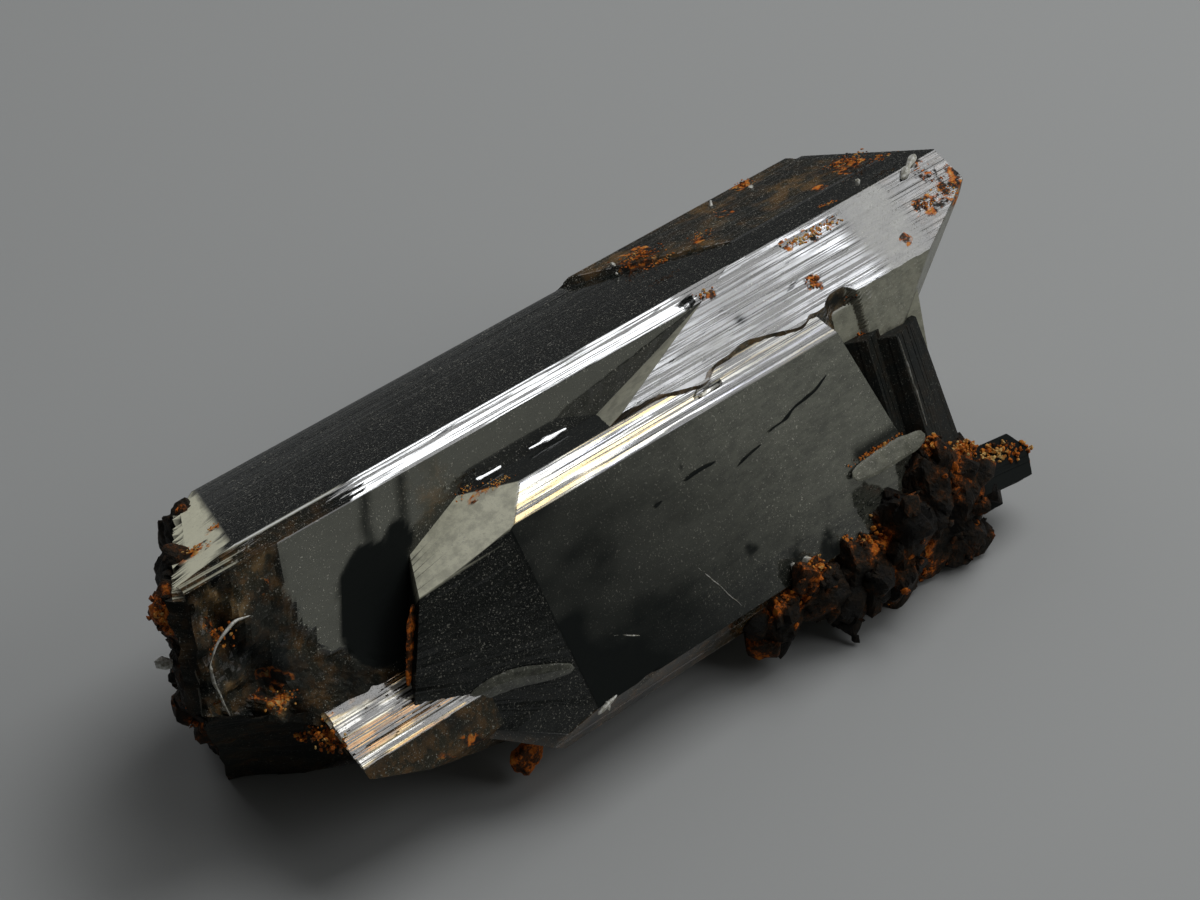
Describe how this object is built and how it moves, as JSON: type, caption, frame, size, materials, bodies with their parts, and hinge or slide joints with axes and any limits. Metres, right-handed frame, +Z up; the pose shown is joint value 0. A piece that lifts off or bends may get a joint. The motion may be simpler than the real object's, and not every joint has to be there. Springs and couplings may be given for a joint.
{
  "type": "mineral specimen",
  "caption": "Black prismatic aegirine crystal group lying on its side, striated bright faces, wedge end, with rusty matrix at its foot and broken base.",
  "frame": {"origin": "the middle of the bounding box in plan, on the surface the group rests on", "axes": "+X runs along the prisms from the broken base to the wedge tips, -Y is the side of the big front face, +Z is up"},
  "size_m": [0.0736, 0.0318, 0.0241],
  "materials": {
    "aegirine": "glassy, striated along its length",
    "rusty_matrix": "rough, earthy, iron-stained"
  },
  "bodies": {
    "root": {"aegirine_crystal": "aegirine", "matrix_far_end": "rusty_matrix", "matrix_broken_end": "rusty_matrix"}
  },
  "joints": []
}
